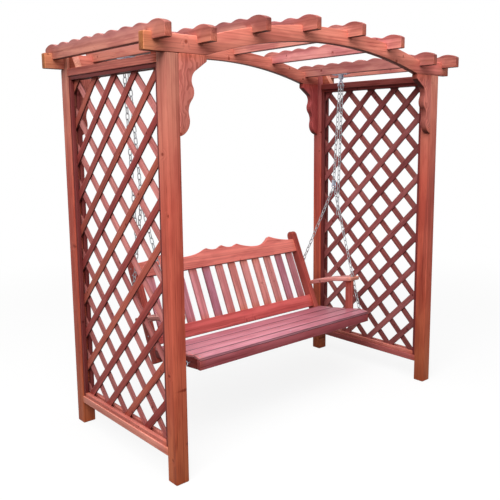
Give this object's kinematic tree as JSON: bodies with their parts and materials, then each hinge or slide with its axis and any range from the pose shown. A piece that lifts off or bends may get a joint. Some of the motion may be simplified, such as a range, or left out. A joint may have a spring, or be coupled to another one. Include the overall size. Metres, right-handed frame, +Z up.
{
  "type": "garden arbor",
  "caption": "Cedar garden arbor with low arches, scalloped rafters, diamond lattice sides and a slatted bench swing hung on chains.",
  "frame": {"origin": "on the ground, in the middle of the arbor", "axes": "+X across the arbor to the right of someone facing the bench, +Y from the open front to the back, +Z up"},
  "size_m": [2.206, 1.121, 2.1816],
  "materials": {
    "post_wood": "satin",
    "bracket_wood": "satin",
    "arch_wood": "satin",
    "rafter_wood": "satin",
    "rail_wood": "satin",
    "lattice_falling_wood": "satin",
    "lattice_rising_wood": "satin",
    "seat_wood": "satin",
    "apron_wood": "satin",
    "stile_wood": "satin",
    "arm_wood": "satin",
    "crest_wood": "satin",
    "back_slat_wood": "satin",
    "fitting_steel": "satin",
    "chain_steel": "satin"
  },
  "bodies": {
    "arbor": {"post_front_left": "post_wood", "post_front_right": "post_wood", "post_back_left": "post_wood", "post_back_right": "post_wood", "bracket_front_left": "bracket_wood", "bracket_front_right": "bracket_wood", "bracket_back_left": "bracket_wood", "bracket_back_right": "bracket_wood", "arch_front": "arch_wood", "arch_back": "arch_wood", "rafter_1": "rafter_wood", "rafter_2": "rafter_wood", "rafter_3": "rafter_wood", "rafter_4": "rafter_wood", "rafter_5": "rafter_wood", "rafter_6": "rafter_wood", "rafter_7": "rafter_wood", "rafter_8": "rafter_wood", "top_rail_left": "rail_wood", "top_rail_right": "rail_wood", "bottom_rail_left": "rail_wood", "bottom_rail_right": "rail_wood", "lattice_stops": "rail_wood", "corner_blocks": "rail_wood", "lattice_left_outer": "lattice_falling_wood", "lattice_right_inner": "lattice_falling_wood", "lattice_left_inner": "lattice_rising_wood", "lattice_right_outer": "lattice_rising_wood", "hanger_left": "fitting_steel", "hanger_right": "fitting_steel", "hanger_pins": "fitting_steel", "hanger_bolts": "fitting_steel"},
    "upper_chains": {"hook_left": "fitting_steel", "hook_right": "fitting_steel", "upper_chain_left": "chain_steel", "upper_chain_right": "chain_steel", "chain_tail_left": "chain_steel", "chain_tail_right": "chain_steel", "shackle_left": "fitting_steel", "shackle_right": "fitting_steel", "shackle_pins": "fitting_steel"},
    "bench": {"ring_left": "fitting_steel", "ring_right": "fitting_steel", "lower_chain_left": "chain_steel", "lower_chain_right": "chain_steel", "eye_bolts": "fitting_steel", "seat_boards": "seat_wood", "front_rail": "apron_wood", "seat_brace": "apron_wood", "seat_side_left": "apron_wood", "seat_side_right": "apron_wood", "back_stile_left": "stile_wood", "back_stile_right": "stile_wood", "arm_left": "arm_wood", "arm_right": "arm_wood", "lower_back_rail": "crest_wood", "crest_rail": "crest_wood", "back_slats": "back_slat_wood", "arm_posts": "stile_wood"}
  },
  "joints": [
    {"name": "swing", "type": "hinge", "parent": "arbor", "child": "upper_chains", "pos_m": [0, 0.165, 1.971], "axis": [1, 0, 0], "range_deg": [-25, 25]},
    {"name": "bench_rock", "type": "hinge", "parent": "upper_chains", "child": "bench", "pos_m": [0, 0.165, 1.262], "axis": [1, 0, 0], "range_deg": [-8, 8]}
  ]
}
